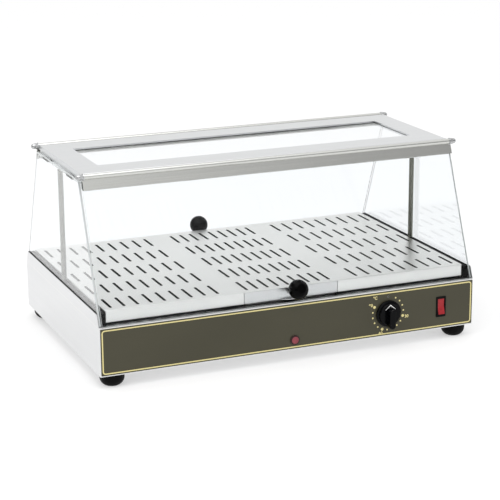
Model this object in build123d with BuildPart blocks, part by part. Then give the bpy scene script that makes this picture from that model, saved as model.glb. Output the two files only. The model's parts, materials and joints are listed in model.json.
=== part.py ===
from build123d import *
import os
from math import cos, sin, radians

# Countertop heated display case with one heated level, served from the front and from the rear.
# A low stainless base holds the heating elements, the thermostat, the switch and the pilot lamp.
# A slotted plate stands on the base deck, with a water drawer under its middle.
# Two side glasses and two posts carry a flat roof with a window, and two glass doors hang
# from rods along the front and the rear edge of the roof.
#
# Millimetres. +X to the right, +Y to the rear, +Z up.
# The origin is on the counter, under the middle of the case.

# ---------------------------------------------------------------- driving dimensions
sheet = 1.2

# base
base_length = 780
base_depth = 490
foot_height = 24
base_height = 94
deck_top = foot_height + base_height
bottom_flange = 50
half_length = base_length / 2
half_depth = base_depth / 2

# front fascia and what it carries
fascia_thickness = 0.6
fascia_margin = 2
fascia_middle_z = foot_height + base_height / 2
dial_x = 200
dial_z = 71
switch_x = 317.3
switch_z = 69.5
lamp_z = 43.5
shaft_hole_radius = 5.5
switch_cutout = (19, 39)
lamp_hole_radius = 6.5

# mains inlet and rating plate on the rear
gland_x = 300
gland_z = 58
gland_hole_radius = 8.2
cord_radius = 4.5
rating_plate_x = -240
rating_plate_z = 70

# feet and screws
foot_radius = 23.5
foot_x = half_length - 30
foot_y = half_depth - 25
foot_screw_radius = 2.5
foot_screw_hole = 2.7
bottom_screw_head = 3.4
bottom_screw_height = 2

# bottom plate and its vent slots
bottom_plate_length = 702
bottom_plate_depth = 418
vent_slot_length = 50
vent_slot_width = 4
vent_group_x = 200

# slotted plate
plate_top = 146
plate_half_length = 372.2
plate_half_depth = 229
plate_flange_bottom = 122.8
plate_bend = 2
slot_length = 56
slot_width = 5.5
slot_rows = 5
slot_row_pitch = 91.75
slot_row_offset = -5
slot_columns = 9
side_slot_pitch = 26.5
side_slot_first = 145
middle_slot_pitch = 21.5

# water drawer
drawer_half_width = 97.2
drawer_gap = 1
drawer_pan_half_width = 94.5
drawer_pan_rear = 160
drawer_pan_height = 21
finger_tab_chord = 48
finger_tab_reach = 8.5

# runners and plate supports
channel_width = 10
support_x = 365.5

# roof
roof_half_length = 381
roof_half_depth = 137
roof_top = 383
roof_side_depth = 19
roof_return = 14
roof_front_depth = 8
window_half_length = 331
window_half_depth = 80
window_lip = 3
roof_glass_thickness = 4
roof_glass_overlap = 9

# posts
post_radius = 5
post_x = 377.8

# side glasses, each standing in a steel channel with a rubber gasket on both faces
side_glass_thickness = 4
side_glass_foot_half = 239.5
side_glass_top_half = 137.5
side_glass_top = 370
side_glass_seal = 2
outer_gasket_thickness = 1
outer_gasket_top = 142.5
side_glass_outer = half_length - sheet - outer_gasket_thickness
side_glass_inner = side_glass_outer - side_glass_thickness
glass_channel_top = 141.5
glass_channel_overhang = 2.5
inner_gasket_gap = 0.5
inner_gasket_width = side_glass_inner - plate_half_length - inner_gasket_gap - 0.2

# doors: a pane hangs from a rail, and the rail's rolled knuckle turns on a rod
hinge_y = 149
hinge_z = 379.5
door_angle = 21.8
rod_radius = 3
running_clearance = 0.05
knuckle_radius = 5.25
knuckle_half_length = 379.4
rail_half_length = 383.4
rail_drop = 24.8
rail_inner_drop = 20
rail_roof = 7
rail_depth = 12.6
pane_thickness = 4
pane_half_length = 383
pane_outer = -7.4
pane_bottom_z = 119.5
pane_rest_gap = 0.2
knob_drop = 256
knob_radius = 19.2
knob_lift = 19.6
knob_neck_radius = 7.5
knob_neck_length = 17
knob_face_angle = 78
knob_neck_angle = -62
knob_screw_radius = 2.5
knob_washer_thickness = 0.6
cap_radius = 6.5
cap_length = 13.5
washer_radius = 6.7
washer_thickness = 1.5

# heating
element_radius = 3.2
element_z = deck_top - sheet - element_radius - 0.6
shield_z = 90

# controls
knob_skirt_radius = 26.5
knob_hub_radius = 22
knob_hub_height = 9.2
grip_length = 40
grip_width = 14
grip_drop = 8
rocker_swing = 14

os.makedirs("parts", exist_ok=True)


def keep(builder, name):
    """Label a finished piece and write it as its own file."""
    builder.part.label = name
    export_step(builder.part, f"parts/{name}.step")


def front_plane(x, z, y=-half_depth):
    """A plane on the front of the base, with local x to the right and local y up."""
    return Plane(origin=(x, y, z), x_dir=(1, 0, 0), z_dir=(0, -1, 0))


def rear_plane(x, z, y=half_depth):
    """A plane on the rear of the base, seen from behind."""
    return Plane(origin=(x, y, z), x_dir=(-1, 0, 0), z_dir=(0, 1, 0))


def side_plane(x, facing):
    """A plane across the length, facing +X or -X, with local y up."""
    return Plane(origin=(x, 0, 0), x_dir=(0, facing, 0), z_dir=(facing, 0, 0))


def door_plane(side, lift=0):
    """The plane of a door through its hinge axis: local z points out of the case, local y up."""
    angle = radians(door_angle)
    normal = Vector(0, side * cos(angle), sin(angle))
    origin = Vector(0, side * hinge_y, hinge_z) + normal * lift
    return Plane(origin=origin, x_dir=(-side, 0, 0), z_dir=normal)


def door_section(side, x):
    """A plane across a door: local x points out of the case, local y up along the pane."""
    angle = radians(door_angle)
    normal = Vector(0, side * cos(angle), sin(angle))
    return Plane(origin=(x, side * hinge_y, hinge_z), x_dir=normal, z_dir=(side, 0, 0))


def pane_drop():
    """Distance from the hinge axis down to the pane's bottom edge, measured along the pane."""
    angle = radians(door_angle)
    return (hinge_z - pane_bottom_z + pane_outer * sin(angle)) / cos(angle)


def pane_inner_y(z):
    """Distance from the middle of the case to the inner face of a closed pane, at a height."""
    angle = radians(door_angle)
    return hinge_y + (pane_outer - pane_thickness + (hinge_z - z) * sin(angle)) / cos(angle)


def side_glass_half(z):
    """Half the depth of a side glass at a height, its front and rear edges being slanted."""
    foot_z = deck_top + side_glass_seal
    slant = (side_glass_foot_half - side_glass_top_half) / (side_glass_top - foot_z)
    return side_glass_foot_half - slant * (z - foot_z)


# ---------------------------------------------------------------- base
post_spots = [(-post_x, 0), (post_x, 0)]

with BuildPart() as base_housing:
    with BuildSketch(Plane.XY.offset(foot_height)):
        RectangleRounded(base_length, base_depth, 2)
    extrude(amount=base_height - sheet)
    with BuildSketch(Plane.XY.offset(foot_height + sheet)):
        RectangleRounded(base_length - 2 * sheet, base_depth - 2 * sheet, 0.8)
    extrude(amount=base_height, mode=Mode.SUBTRACT)
    with BuildSketch(Plane.XY.offset(foot_height)):
        Rectangle(base_length - 2 * bottom_flange, base_depth - 2 * bottom_flange)
    extrude(amount=sheet, mode=Mode.SUBTRACT)
    with BuildSketch(Plane.XY.offset(foot_height)):
        with GridLocations(2 * foot_x, 2 * foot_y, 2, 2):
            Circle(foot_screw_hole)
    extrude(amount=sheet, mode=Mode.SUBTRACT)
    with BuildSketch(front_plane(dial_x, dial_z)):
        Circle(shaft_hole_radius)
    extrude(amount=-sheet, mode=Mode.SUBTRACT)
    with BuildSketch(front_plane(switch_x, switch_z)):
        Rectangle(*switch_cutout)
    extrude(amount=-sheet, mode=Mode.SUBTRACT)
    with BuildSketch(front_plane(0, lamp_z)):
        Circle(lamp_hole_radius)
    extrude(amount=-sheet, mode=Mode.SUBTRACT)
    with BuildSketch(rear_plane(gland_x, gland_z)):
        Circle(gland_hole_radius)
    extrude(amount=-sheet, mode=Mode.SUBTRACT)
keep(base_housing, "base_housing")

with BuildPart() as deck_plate:
    with BuildSketch(Plane.XY.offset(deck_top - sheet)):
        RectangleRounded(base_length, base_depth, 2)
    extrude(amount=sheet)
    with BuildSketch(Plane.XY.offset(deck_top - sheet)):
        Rectangle(base_length - 2 * sheet - 0.6, base_depth - 2 * sheet - 0.6)
        Rectangle(base_length - 4 * sheet - 0.6, base_depth - 4 * sheet - 0.6, mode=Mode.SUBTRACT)
    extrude(amount=-10)
    with BuildSketch(Plane.XY.offset(deck_top)):
        with Locations(*post_spots):
            Circle(3.2)
    extrude(amount=-sheet, mode=Mode.SUBTRACT)
keep(deck_plate, "deck_plate")

bottom_screw_spots = [(x, y) for x in (-300, -100, 100, 300) for y in (-202, 202)]
bottom_plate_z = foot_height + sheet

with BuildPart() as bottom_plate:
    with BuildSketch(Plane.XY.offset(bottom_plate_z)):
        Rectangle(bottom_plate_length, bottom_plate_depth)
        with Locations((-vent_group_x, 0), (vent_group_x, 0)):
            with GridLocations(14, 70, 12, 3):
                SlotOverall(vent_slot_length, vent_slot_width, rotation=90, mode=Mode.SUBTRACT)
    extrude(amount=1)
keep(bottom_plate, "bottom_plate")

with BuildPart() as bottom_screws:
    with BuildSketch(Plane.XY.offset(foot_height)):
        with Locations(*bottom_screw_spots):
            Circle(bottom_screw_head)
    extrude(amount=-bottom_screw_height)
    fillet(bottom_screws.faces().group_by(Axis.Z)[0].edges(), radius=1)
    with BuildSketch(Plane.XY.offset(foot_height - bottom_screw_height)):
        with Locations(*bottom_screw_spots):
            Rectangle(3.6, 0.7)
            Rectangle(0.7, 3.6)
    extrude(amount=1, mode=Mode.SUBTRACT)
keep(bottom_screws, "bottom_screws")

with BuildPart() as control_panel:
    with BuildSketch(front_plane(0, fascia_middle_z)):
        RectangleRounded(base_length - 2 * fascia_margin, base_height - 2 * fascia_margin, 1.5)
    extrude(amount=fascia_thickness)
    with BuildSketch(front_plane(dial_x, dial_z)):
        Circle(shaft_hole_radius)
    extrude(amount=fascia_thickness, mode=Mode.SUBTRACT)
    with BuildSketch(front_plane(switch_x, switch_z)):
        Rectangle(*switch_cutout)
    extrude(amount=fascia_thickness, mode=Mode.SUBTRACT)
    with BuildSketch(front_plane(0, lamp_z)):
        Circle(lamp_hole_radius)
    extrude(amount=fascia_thickness, mode=Mode.SUBTRACT)
keep(control_panel, "control_panel")

# ---------------------------------------------------------------- feet
foot_spots = [(x, y) for x in (-foot_x, foot_x) for y in (-foot_y, foot_y)]

with BuildPart() as rubber_feet:
    for spot in foot_spots:
        with BuildSketch(Plane(origin=(*spot, 0), x_dir=(1, 0, 0), z_dir=(0, -1, 0))):
            with BuildLine():
                Polyline((6.5, 0), (14, 0))
                ThreePointArc((14, 0), (20.5, 5.5), (foot_radius, 14))
                Polyline((foot_radius, 14), (foot_radius, foot_height), (foot_screw_hole, foot_height))
                Polyline((foot_screw_hole, foot_height), (foot_screw_hole, 12), (6.5, 12), (6.5, 0))
            make_face()
        revolve(axis=Axis((*spot, 0), (0, 0, 1)))
keep(rubber_feet, "rubber_feet")

with BuildPart() as foot_screws:
    for spot in foot_spots:
        with BuildSketch(Plane.XY.offset(8)):
            with Locations(spot):
                Circle(5)
        extrude(amount=4)
        with BuildSketch(Plane.XY.offset(12)):
            with Locations(spot):
                Circle(foot_screw_radius)
        extrude(amount=20)
        with BuildSketch(Plane.XY.offset(foot_height + sheet)):
            with Locations(spot):
                RegularPolygon(4.6, 6)
        extrude(amount=4)
keep(foot_screws, "foot_screws")

# ---------------------------------------------------------------- heating under the deck


def element_path(side):
    """The folded run of one heating element, from its inner terminal to its outer one."""
    near = side * 45
    far = side * 345
    rows = [-160, -96, -32, 32, 96, 160]
    points = [(near, 195, element_z)]
    for number, y in enumerate(reversed(rows)):
        ends = (near + side * 20, far) if number % 2 == 0 else (far, near + side * 20)
        points += [(ends[0], y, element_z), (ends[1], y, element_z)]
    points[1] = (near, rows[-1], element_z)
    return points


for side, name in ((-1, "heating_element_left"), (1, "heating_element_right")):
    route = element_path(side)
    with BuildPart() as heating_element:
        with BuildLine() as element_line:
            FilletPolyline(*route, radius=24)
        with BuildSketch(Plane(origin=route[0], z_dir=(0, -1, 0))):
            Circle(element_radius)
        sweep(path=element_line.line)
    keep(heating_element, name)

with BuildPart() as element_clips:
    for side in (-1, 1):
        for row in (-160, -32, 96):
            with Locations((side * 200, row, element_z - element_radius - 1)):
                Box(12, 22, 1, align=(Align.CENTER, Align.CENTER, Align.MIN))
            for end in (-1, 1):
                with Locations((side * 200, row + end * 10.5, element_z - element_radius - 1)):
                    Box(12, 1, deck_top - sheet - element_z + element_radius + 1,
                        align=(Align.CENTER, Align.CENTER, Align.MIN))
keep(element_clips, "element_clips")

shield_half_length = 372
shield_front = -188
shield_rear = 205
shield_middle = (shield_front + shield_rear) / 2
shield_span = shield_rear - shield_front

with BuildPart() as heat_shield:
    with BuildSketch(Plane.XY.offset(shield_z)):
        with Locations((0, shield_middle)):
            Rectangle(2 * shield_half_length, shield_span)
    extrude(amount=1)
    for x in (-shield_half_length, shield_half_length - 1):
        with Locations((x, shield_middle, shield_z)):
            Box(1, shield_span, deck_top - sheet - shield_z, align=(Align.MIN, Align.CENTER, Align.MIN))
keep(heat_shield, "heat_shield")

with BuildPart() as insulation_mat:
    with BuildSketch(Plane.XY.offset(shield_z + 1)):
        with Locations((0, shield_middle)):
            RectangleRounded(2 * shield_half_length - 6, shield_span - 4, 6)
    extrude(amount=14)
keep(insulation_mat, "insulation_mat")

# ---------------------------------------------------------------- deck fittings


def channel(web_x, facing, length):
    """A C-shaped bar along Y that stands on the deck, its web facing the given way."""
    height = plate_top - sheet - deck_top
    with BuildPart() as bar:
        with BuildSketch(Plane(origin=(web_x, length / 2, deck_top), x_dir=(facing, 0, 0),
                               z_dir=(0, -facing, 0))):
            Rectangle(channel_width, height, align=(Align.MIN, Align.MIN))
            with Locations((sheet, sheet)):
                Rectangle(channel_width, height - 2 * sheet, align=(Align.MIN, Align.MIN),
                          mode=Mode.SUBTRACT)
        extrude(amount=facing * length)
    return bar


runner_x = drawer_half_width + drawer_gap + 0.3
bar_length = 2 * plate_half_depth - 8

for side, name in ((-1, "drawer_runner_left"), (1, "drawer_runner_right")):
    keep(channel(side * runner_x, side, bar_length), name)

for side, name in ((-1, "plate_support_left"), (1, "plate_support_right")):
    keep(channel(side * (support_x + channel_width / 2), -side, bar_length), name)

with BuildPart() as slotted_plate:
    height = plate_top - plate_flange_bottom
    with BuildSketch(Plane.XY.offset(plate_flange_bottom)):
        RectangleRounded(2 * plate_half_length, 2 * plate_half_depth, plate_bend)
    extrude(amount=height)
    fillet(slotted_plate.faces().sort_by(Axis.Z)[-1].edges(), radius=plate_bend)
    with BuildSketch(Plane.XY.offset(plate_flange_bottom)):
        Rectangle(2 * (plate_half_length - sheet), 2 * (plate_half_depth - sheet))
    extrude(amount=height - sheet, mode=Mode.SUBTRACT)
    with Locations((0, -plate_half_depth, plate_flange_bottom)):
        Box(2 * (drawer_half_width + drawer_gap), 4 * sheet, height - sheet,
            align=(Align.CENTER, Align.CENTER, Align.MIN), mode=Mode.SUBTRACT)
    side_middle = side_slot_first + side_slot_pitch * (slot_columns - 1) / 2
    with BuildSketch(Plane.XY.offset(plate_top)):
        for group_x, pitch in ((-side_middle, side_slot_pitch), (0, middle_slot_pitch),
                               (side_middle, side_slot_pitch)):
            with Locations((group_x, slot_row_offset)):
                with GridLocations(pitch, slot_row_pitch, slot_columns, slot_rows):
                    SlotOverall(slot_length, slot_width, rotation=90)
    extrude(amount=-sheet, mode=Mode.SUBTRACT)
keep(slotted_plate, "slotted_plate")

# ---------------------------------------------------------------- water drawer
drawer_front_y = -plate_half_depth
pan_front_y = drawer_front_y + sheet
pan_depth = drawer_pan_rear - pan_front_y

with BuildPart() as water_drawer:
    with BuildSketch(Plane.XY.offset(deck_top + 0.5)):
        with Locations((0, pan_front_y + pan_depth / 2)):
            RectangleRounded(2 * drawer_pan_half_width, pan_depth, 6)
    extrude(amount=drawer_pan_height)
    fillet(water_drawer.faces().sort_by(Axis.Z)[0].edges(), radius=2.5)
    offset(amount=-1, openings=water_drawer.faces().sort_by(Axis.Z)[-1])
keep(water_drawer, "water_drawer")

tab_radius = ((finger_tab_chord / 2) ** 2 + finger_tab_reach ** 2) / (2 * finger_tab_reach)

with BuildPart() as drawer_front:
    with Locations((0, drawer_front_y, plate_flange_bottom)):
        Box(2 * drawer_half_width, sheet, plate_top - sheet - 0.3 - plate_flange_bottom,
            align=(Align.CENTER, Align.MIN, Align.MIN))
    with BuildSketch(Plane.XY.offset(plate_flange_bottom)):
        with BuildLine():
            ThreePointArc((-finger_tab_chord / 2, drawer_front_y),
                          (0, drawer_front_y - finger_tab_reach),
                          (finger_tab_chord / 2, drawer_front_y))
            Line((finger_tab_chord / 2, drawer_front_y), (-finger_tab_chord / 2, drawer_front_y))
        make_face()
    extrude(amount=sheet)
keep(drawer_front, "drawer_front")

# ---------------------------------------------------------------- posts
roof_side_bottom = roof_top - roof_side_depth

for side, name in ((-1, "post_left"), (1, "post_right")):
    with BuildPart() as post:
        with BuildSketch(Plane.XY.offset(deck_top)):
            with Locations((side * post_x, 0)):
                Circle(post_radius)
        extrude(amount=roof_side_bottom - deck_top)
        with BuildSketch(Plane.XY.offset(deck_top)):
            with Locations((side * post_x, 0)):
                Circle(3)
        extrude(amount=-14)
    keep(post, name)

with BuildPart() as post_nuts:
    with BuildSketch(Plane.XY.offset(deck_top - sheet)):
        with Locations(*post_spots):
            RegularPolygon(5.5, 6)
            Circle(3, mode=Mode.SUBTRACT)
    extrude(amount=-5)
keep(post_nuts, "post_nuts")

# ---------------------------------------------------------------- roof
with BuildPart() as roof_panel:
    with BuildSketch(Plane.XY.offset(roof_side_bottom)):
        RectangleRounded(2 * roof_half_length, 2 * roof_half_depth, 1.8)
    extrude(amount=roof_side_depth)
    fillet(roof_panel.faces().sort_by(Axis.Z)[-1].edges(), radius=1.8)
    with BuildSketch(Plane.XY.offset(roof_side_bottom + sheet)):
        Rectangle(2 * (roof_half_length - sheet), 2 * (roof_half_depth - sheet))
    extrude(amount=roof_side_depth - 2 * sheet, mode=Mode.SUBTRACT)
    with BuildSketch(Plane.XY.offset(roof_side_bottom)):
        Rectangle(2 * (roof_half_length - roof_return), 2 * roof_half_depth)
    extrude(amount=sheet, mode=Mode.SUBTRACT)
    for side in (-1, 1):
        with Locations((0, side * roof_half_depth, roof_side_bottom)):
            Box(2 * (roof_half_length - sheet), 4 * sheet, roof_side_depth - roof_front_depth,
                align=(Align.CENTER, Align.CENTER, Align.MIN), mode=Mode.SUBTRACT)
    with BuildSketch(Plane.XY.offset(roof_top)):
        Rectangle(2 * (window_half_length + sheet), 2 * (window_half_depth + sheet))
    extrude(amount=-window_lip)
    with BuildSketch(Plane.XY.offset(roof_top)):
        Rectangle(2 * window_half_length, 2 * window_half_depth)
    extrude(amount=-roof_side_depth, mode=Mode.SUBTRACT)
    # an ear at each corner carries the end of a hinge rod
    for side_x in (-1, 1):
        for side_y in (-1, 1):
            with BuildSketch(Plane(origin=(side_x * roof_half_length, 0, 0), x_dir=(0, side_x, 0),
                                   z_dir=(side_x, 0, 0))):
                ear_y = side_x * side_y * hinge_y
                neck_y = side_x * side_y * (roof_half_depth - 4)
                with Locations((ear_y, hinge_z)):
                    Circle(6)
                with BuildLine():
                    Polyline((ear_y, hinge_z + 3.5), (neck_y, hinge_z + 3.5), (neck_y, hinge_z - 6),
                             (ear_y, hinge_z - 6), close=True)
                make_face()
                with Locations((ear_y, hinge_z)):
                    Circle(rod_radius, mode=Mode.SUBTRACT)
            extrude(amount=-sheet)
keep(roof_panel, "roof_panel")

glass_top = roof_top - window_lip

with BuildPart() as roof_gasket:
    with BuildSketch(Plane.XY.offset(glass_top)):
        Rectangle(2 * (window_half_length + roof_glass_overlap),
                  2 * (window_half_depth + roof_glass_overlap))
        Rectangle(2 * window_half_length, 2 * window_half_depth, mode=Mode.SUBTRACT)
    extrude(amount=-1)
keep(roof_gasket, "roof_gasket")

with BuildPart() as roof_glass:
    with BuildSketch(Plane.XY.offset(glass_top - 1)):
        RectangleRounded(2 * (window_half_length + roof_glass_overlap),
                         2 * (window_half_depth + roof_glass_overlap), 3)
    extrude(amount=-roof_glass_thickness)
    chamfer(roof_glass.faces().filter_by(Axis.Z).edges(), length=0.4)
keep(roof_glass, "roof_glass")

clip_bottom = glass_top - 1 - roof_glass_thickness - sheet
clip_inner = window_half_depth + 4
clip_outer = window_half_depth + roof_glass_overlap + 2

with BuildPart() as roof_glass_clips:
    for x in (-240, 0, 240):
        for side in (-1, 1):
            with BuildSketch(Plane(origin=(x, 0, 0), x_dir=(0, side, 0), z_dir=(side, 0, 0))):
                with BuildLine():
                    Polyline((clip_inner, clip_bottom), (clip_outer + sheet, clip_bottom),
                             (clip_outer + sheet, roof_top - 2 * sheet),
                             (clip_outer + 14, roof_top - 2 * sheet),
                             (clip_outer + 14, roof_top - sheet), (clip_outer, roof_top - sheet),
                             (clip_outer, clip_bottom + sheet), (clip_inner, clip_bottom + sheet), close=True)
                make_face()
            extrude(amount=10, both=True)
keep(roof_glass_clips, "roof_glass_clips")

# ---------------------------------------------------------------- side glasses
seal_top = deck_top + side_glass_seal

for side, name in ((-1, "side_glass_left"), (1, "side_glass_right")):
    with BuildPart() as side_glass:
        with BuildSketch(side_plane(side * side_glass_inner, side)):
            with BuildLine():
                Polyline((-side_glass_foot_half, seal_top), (side_glass_foot_half, seal_top),
                         (side_glass_top_half, side_glass_top), (-side_glass_top_half, side_glass_top),
                         close=True)
            make_face()
        extrude(amount=side_glass_thickness)
        chamfer(side_glass.faces().filter_by(Axis.X).edges(), length=0.5)
    keep(side_glass, name)

def slanted_side(bottom, top, overhang):
    """The corners of a strip that follows the side glass's slanted edges between two heights."""
    low = side_glass_half(bottom) + overhang
    high = side_glass_half(top) + overhang
    return [(-low, bottom), (low, bottom), (high, top), (-high, top)]


web_half_depth = side_glass_half(deck_top) + glass_channel_overhang

for side, name in ((-1, "glass_channel_left"), (1, "glass_channel_right")):
    with BuildPart() as glass_channel:
        with BuildSketch(side_plane(side * (half_length - sheet), side)):
            with BuildLine():
                Polyline(*slanted_side(deck_top, glass_channel_top, glass_channel_overhang), close=True)
            make_face()
        extrude(amount=sheet)
        with BuildSketch(side_plane(side * side_glass_inner, side)):
            with Locations((0, deck_top + sheet / 2)):
                Rectangle(2 * web_half_depth, sheet)
        extrude(amount=half_length - side_glass_inner)
    keep(glass_channel, name)

gasket_foot = deck_top + sheet
inner_gasket_half = pane_inner_y(glass_channel_top) - pane_rest_gap
inner_gasket_x = plate_half_length + inner_gasket_gap + inner_gasket_width / 2

with BuildPart() as side_glass_seals:
    for side in (-1, 1):
        with BuildSketch(side_plane(side * side_glass_inner, side)):
            with Locations((0, (gasket_foot + seal_top) / 2)):
                Rectangle(2 * side_glass_foot_half, seal_top - gasket_foot)
        extrude(amount=side_glass_thickness)
        with BuildSketch(side_plane(side * side_glass_outer, side)):
            with BuildLine():
                Polyline(*slanted_side(gasket_foot, outer_gasket_top, 0), close=True)
            make_face()
        extrude(amount=outer_gasket_thickness)
    # the inner gaskets fill the gap to the slotted plate, and the closed panes lean on their ends
    with BuildSketch(Plane.XY.offset(deck_top)):
        with Locations((-inner_gasket_x, 0), (inner_gasket_x, 0)):
            Rectangle(inner_gasket_width, 2 * inner_gasket_half)
            Rectangle(inner_gasket_width + 1, 2 * post_radius + 1, mode=Mode.SUBTRACT)
    extrude(amount=glass_channel_top - deck_top)
keep(side_glass_seals, "side_glass_seals")

pad_thickness = side_glass_inner - roof_half_length

with BuildPart() as glass_pads:
    for side in (-1, 1):
        with BuildSketch(side_plane(side * roof_half_length, side)):
            with Locations((-80, side_glass_top - 3), (80, side_glass_top - 3)):
                RectangleRounded(40, 5, 2)
        extrude(amount=pad_thickness)
keep(glass_pads, "glass_pads")

# ---------------------------------------------------------------- hinge rods and their nuts
rod_half_length = roof_half_length + washer_thickness + 8

for side, name in ((-1, "hinge_rod_front"), (1, "hinge_rod_rear")):
    with BuildPart() as hinge_rod:
        with BuildSketch(Plane(origin=(-rod_half_length, side * hinge_y, hinge_z), z_dir=(1, 0, 0))):
            Circle(rod_radius)
        extrude(amount=2 * rod_half_length)
    keep(hinge_rod, name)

rod_ends = [(side_x, side_y) for side_x in (-1, 1) for side_y in (-1, 1)]

with BuildPart() as hinge_washers:
    for side_x, side_y in rod_ends:
        with BuildSketch(side_plane(side_x * roof_half_length, side_x)):
            with Locations((side_x * side_y * hinge_y, hinge_z)):
                Circle(washer_radius)
                Circle(rod_radius, mode=Mode.SUBTRACT)
        extrude(amount=washer_thickness)
keep(hinge_washers, "hinge_washers")

hex_length = 5
thread_length = 8
dome_radius = cap_radius - 1.2

with BuildPart() as cap_nut:
    with BuildSketch(Plane.YZ):
        RegularPolygon(cap_radius, 6)
        Circle(rod_radius, mode=Mode.SUBTRACT)
    extrude(amount=hex_length)
    with BuildSketch(Plane.XY):
        with BuildLine():
            Polyline((thread_length, 0), (thread_length, rod_radius), (hex_length - 1, rod_radius),
                     (hex_length - 1, dome_radius), (hex_length + 2, dome_radius))
            ThreePointArc((hex_length + 2, dome_radius), (cap_length - 1.7, dome_radius * 0.72),
                          (cap_length, 1))
            Polyline((cap_length, 1), (cap_length, 0), (thread_length, 0))
        make_face()
    revolve(axis=Axis.X)

nut_seat = roof_half_length + washer_thickness

with BuildPart() as hinge_cap_nuts:
    for side_x, side_y in rod_ends:
        turn = 0 if side_x > 0 else 180
        with Locations(Location((side_x * nut_seat, side_y * hinge_y, hinge_z), (0, 0, turn))):
            add(cap_nut.part)
keep(hinge_cap_nuts, "hinge_cap_nuts")

# ---------------------------------------------------------------- doors
pane_inner = pane_outer - pane_thickness
pane_length = pane_drop() - rail_roof - sheet


def door_rail(side):
    """A folded rail that grips the pane's top edge, with a rolled knuckle along its top."""
    with BuildPart() as rail:
        with BuildSketch(door_section(side, 0)):
            with Locations((-sheet, -rail_drop)):
                Rectangle(sheet, rail_drop - 3, align=(Align.MIN, Align.MIN))
            with Locations((pane_outer, -rail_drop)):
                Rectangle(-pane_outer, sheet, align=(Align.MIN, Align.MIN))
            with Locations((pane_outer, -rail_drop)):
                Rectangle(sheet, 8, align=(Align.MIN, Align.MIN))
            with Locations((-rail_depth, -rail_roof - sheet)):
                Rectangle(rail_depth, sheet, align=(Align.MIN, Align.MIN))
            with Locations((pane_inner - sheet, -rail_inner_drop)):
                Rectangle(sheet, rail_inner_drop - rail_roof, align=(Align.MIN, Align.MIN))
        extrude(amount=rail_half_length, both=True)
        with BuildSketch(door_section(side, 0)):
            Circle(knuckle_radius)
        extrude(amount=knuckle_half_length, both=True)
        with BuildSketch(door_section(side, 0)):
            Circle(rod_radius + running_clearance)
        extrude(amount=rail_half_length, both=True, mode=Mode.SUBTRACT)
        # the leg behind the knuckle stops short of the ears at both ends
        for end in (-1, 1):
            with BuildSketch(door_section(side, end * rail_half_length)):
                Circle(knuckle_radius + 1.6)
            extrude(amount=-end * side * (rail_half_length - knuckle_half_length), mode=Mode.SUBTRACT)
    return rail


def door_pane(side):
    """A clear pane with rounded lower corners and a hole for the knob's screw."""
    with BuildPart() as pane:
        with BuildSketch(door_plane(side, pane_inner)):
            with Locations((0, -rail_roof - sheet)):
                Rectangle(2 * pane_half_length, pane_length, align=(Align.CENTER, Align.MAX))
            with Locations((0, -knob_drop)):
                Circle(3, mode=Mode.SUBTRACT)
        extrude(amount=pane_thickness)
        chamfer(pane.faces().sort_by(Axis.Z)[0].edges().filter_by(Axis.X), length=0.6)
    return pane


def door_knob(side):
    """A ball knob with a flat end and a short neck that stands on the pane's outer face."""
    middle = door_plane(side)
    centre = middle.from_local_coords((0, -knob_drop, knob_lift))
    foot = middle.from_local_coords((0, -knob_drop, pane_outer))
    foot_plane = Plane(origin=foot, x_dir=middle.x_dir, z_dir=middle.z_dir)
    face_angle = radians(knob_face_angle)
    neck_angle = radians(knob_neck_angle)
    face_edge = (knob_radius * cos(face_angle), knob_radius * sin(face_angle))
    neck_edge = (knob_radius * cos(neck_angle), knob_radius * sin(neck_angle))
    with BuildPart() as knob:
        with BuildSketch(foot_plane):
            Circle(knob_neck_radius)
        extrude(amount=knob_neck_length)
        with BuildSketch(Plane(origin=centre, x_dir=middle.x_dir, z_dir=middle.y_dir)):
            with BuildLine():
                CenterArc((0, 0), knob_radius, knob_neck_angle, knob_face_angle - knob_neck_angle)
                Polyline(face_edge, (0, face_edge[1]), (0, neck_edge[1]), neck_edge)
            make_face()
        revolve(axis=Axis(centre, middle.z_dir))
        with BuildSketch(foot_plane):
            Circle(knob_screw_radius)
        extrude(amount=knob_neck_length + 1, mode=Mode.SUBTRACT)
    return knob


def knob_washer(side):
    """A fibre washer between the pane's inner face and the screw's head."""
    with BuildPart() as washer:
        with BuildSketch(door_plane(side, pane_inner - knob_washer_thickness)):
            with Locations((0, -knob_drop)):
                Circle(8)
                Circle(knob_screw_radius, mode=Mode.SUBTRACT)
        extrude(amount=knob_washer_thickness)
    return washer


def knob_screw(side):
    """The screw that holds the knob, with its head inside the case."""
    with BuildPart() as screw:
        with BuildSketch(door_plane(side, pane_inner - knob_washer_thickness)):
            with Locations((0, -knob_drop)):
                Circle(4.6)
        extrude(amount=-2.4)
        fillet(screw.edges().filter_by(GeomType.CIRCLE).sort_by(Axis.Y)[-1 if side < 0 else 0], radius=1)
        with BuildSketch(door_plane(side, pane_inner - knob_washer_thickness)):
            with Locations((0, -knob_drop)):
                Circle(knob_screw_radius)
        extrude(amount=knob_washer_thickness + pane_thickness + knob_neck_length - 1)
    return screw


for side, name in ((-1, "front"), (1, "rear")):
    keep(door_rail(side), f"{name}_door_rail")
    keep(door_pane(side), f"{name}_door_pane")
    keep(door_knob(side), f"{name}_door_knob")
    keep(knob_washer(side), f"{name}_knob_washer")
    keep(knob_screw(side), f"{name}_knob_screw")

# ---------------------------------------------------------------- thermostat
panel_face = -half_depth - fascia_thickness
knob_back = panel_face - 1.5
housing_inner = -half_depth + sheet

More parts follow.
